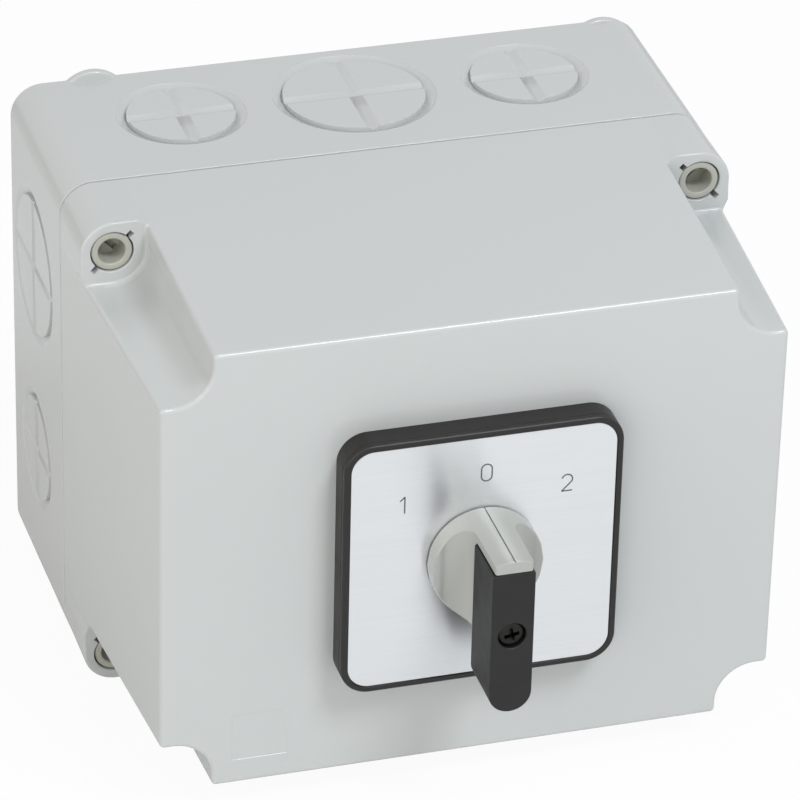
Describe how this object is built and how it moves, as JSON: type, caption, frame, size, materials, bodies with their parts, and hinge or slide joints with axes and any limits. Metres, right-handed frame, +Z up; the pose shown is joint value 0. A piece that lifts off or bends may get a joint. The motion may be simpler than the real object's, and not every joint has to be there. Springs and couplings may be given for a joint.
{
  "type": "reversing drum switch",
  "caption": "Boxed wall-mounted reversing drum switch: lever knob with an off and two running positions, stacked cam contact stages inside, knockouts for cable entries.",
  "frame": {"origin": "centre of the wall face, on the knob's axis", "axes": "+X to the right as the user faces the knob, +Y into the wall, +Z up; the knob faces -Y"},
  "size_m": [0.17, 0.1704, 0.1396],
  "materials": {
    "box_abs": "moulded light grey ABS, light gloss",
    "seal_rubber": "black rubber",
    "frame_nylon": "moulded black nylon",
    "legend_aluminium": "brushed across, clear anodised",
    "zinc_steel": "bright zinc plated",
    "hub_nylon": "moulded warm grey nylon",
    "lever_nylon": "moulded black nylon, fine satin texture",
    "black_steel": "blackened steel",
    "shaft_steel": "drawn square steel",
    "latch_nylon": "moulded black glass-filled nylon",
    "wheel_acetal": "moulded white acetal",
    "spring_steel": "bright spring steel",
    "stage_polyester": "moulded cream glass-filled polyester",
    "cam_acetal": "moulded natural acetal",
    "carrier_nylon": "moulded dark grey nylon",
    "contact_copper": "stamped copper alloy, silver tips",
    "screw_nylon": "moulded cream grey nylon",
    "earth_brass": "sawn brass bar"
  },
  "bodies": {
    "enclosure": {"base_box": "box_abs", "front_cover": "box_abs", "cover_gasket": "seal_rubber", "plate_frame": "frame_nylon", "legend_plate": "legend_aluminium", "plate_gasket": "seal_rubber", "plate_screws": "zinc_steel", "shaft_seal": "seal_rubber", "latch_housing": "latch_nylon", "detent_springs": "spring_steel", "stage_housing_1": "stage_polyester", "stage_housing_2": "stage_polyester", "stage_housing_3": "stage_polyester", "rear_plate": "latch_nylon", "tie_bolts": "zinc_steel", "tie_nuts": "zinc_steel", "fixed_contacts_1": "contact_copper", "fixed_contacts_2": "contact_copper", "fixed_contacts_3": "contact_copper", "terminal_clamps": "zinc_steel", "terminal_screws": "zinc_steel", "line_links": "contact_copper", "load_links": "contact_copper", "earth_terminal": "earth_brass", "earth_screw": "zinc_steel", "contact_spring_1r": "spring_steel", "contact_spring_1l": "spring_steel", "contact_spring_2r": "spring_steel", "contact_spring_2l": "spring_steel", "contact_spring_3r": "spring_steel", "contact_spring_3l": "spring_steel"},
    "rotor": {"knob_hub": "hub_nylon", "lever_handle": "lever_nylon", "handle_screw": "black_steel", "hub_screw": "zinc_steel", "drive_shaft": "shaft_steel", "star_wheel": "wheel_acetal", "cam_1": "cam_acetal", "cam_2": "cam_acetal", "cam_3": "cam_acetal"},
    "screw_tl": {"cover_screw_tl": "screw_nylon"},
    "screw_tr": {"cover_screw_tr": "screw_nylon"},
    "screw_bl": {"cover_screw_bl": "screw_nylon"},
    "screw_br": {"cover_screw_br": "screw_nylon"},
    "slide_1r": {"carrier_1r": "carrier_nylon", "bridge_1r": "contact_copper"},
    "slide_1l": {"carrier_1l": "carrier_nylon", "bridge_1l": "contact_copper"},
    "slide_2r": {"carrier_2r": "carrier_nylon", "bridge_2r": "contact_copper"},
    "slide_2l": {"carrier_2l": "carrier_nylon", "bridge_2l": "contact_copper"},
    "slide_3r": {"carrier_3r": "carrier_nylon", "bridge_3r": "contact_copper"},
    "slide_3l": {"carrier_3l": "carrier_nylon", "bridge_3l": "contact_copper"}
  },
  "joints": [
    {"name": "knob_turn", "type": "hinge", "parent": "enclosure", "child": "rotor", "pos_m": [0, -0.15, 0], "axis": [0, 1, 0], "range_deg": [-45, 45], "deforming": ["detent_springs"]},
    {"name": "screw_tl_turn", "type": "hinge", "parent": "enclosure", "child": "screw_tl", "pos_m": [-0.07635, -0.06, 0.05885], "axis": [0, -1, 0], "range_deg": [0, 90]},
    {"name": "screw_tr_turn", "type": "hinge", "parent": "enclosure", "child": "screw_tr", "pos_m": [0.07635, -0.06, 0.05885], "axis": [0, -1, 0], "range_deg": [0, 90]},
    {"name": "screw_bl_turn", "type": "hinge", "parent": "enclosure", "child": "screw_bl", "pos_m": [-0.07635, -0.06, -0.05885], "axis": [0, -1, 0], "range_deg": [0, 90]},
    {"name": "screw_br_turn", "type": "hinge", "parent": "enclosure", "child": "screw_br", "pos_m": [0.07635, -0.06, -0.05885], "axis": [0, -1, 0], "range_deg": [0, 90]},
    {"name": "contact_1r_travel", "type": "slide", "parent": "enclosure", "child": "slide_1r", "axis": [-1, 0, 0], "range_m": [-0.003, 0.003], "deforming": ["contact_spring_1r"]},
    {"name": "contact_1l_travel", "type": "slide", "parent": "enclosure", "child": "slide_1l", "axis": [-1, 0, 0], "range_m": [-0.003, 0.003], "deforming": ["contact_spring_1l"]},
    {"name": "contact_2r_travel", "type": "slide", "parent": "enclosure", "child": "slide_2r", "axis": [-1, 0, 0], "range_m": [-0.003, 0.003], "deforming": ["contact_spring_2r"]},
    {"name": "contact_2l_travel", "type": "slide", "parent": "enclosure", "child": "slide_2l", "axis": [-1, 0, 0], "range_m": [-0.003, 0.003], "deforming": ["contact_spring_2l"]},
    {"name": "contact_3r_travel", "type": "slide", "parent": "enclosure", "child": "slide_3r", "axis": [-1, 0, 0], "range_m": [-0.003, 0.003], "deforming": ["contact_spring_3r"]},
    {"name": "contact_3l_travel", "type": "slide", "parent": "enclosure", "child": "slide_3l", "axis": [-1, 0, 0], "range_m": [-0.003, 0.003], "deforming": ["contact_spring_3l"]}
  ],
  "couplings": [
    {"joint": "contact_1r_travel", "follows": "knob_turn", "m_per_rad": 0.0038197},
    {"joint": "contact_1l_travel", "follows": "knob_turn", "m_per_rad": 0.0038197},
    {"joint": "contact_2r_travel", "follows": "knob_turn", "m_per_rad": 0.0038197},
    {"joint": "contact_2l_travel", "follows": "knob_turn", "m_per_rad": 0.0038197},
    {"joint": "contact_3r_travel", "follows": "knob_turn", "m_per_rad": 0.0038197},
    {"joint": "contact_3l_travel", "follows": "knob_turn", "m_per_rad": 0.0038197}
  ]
}
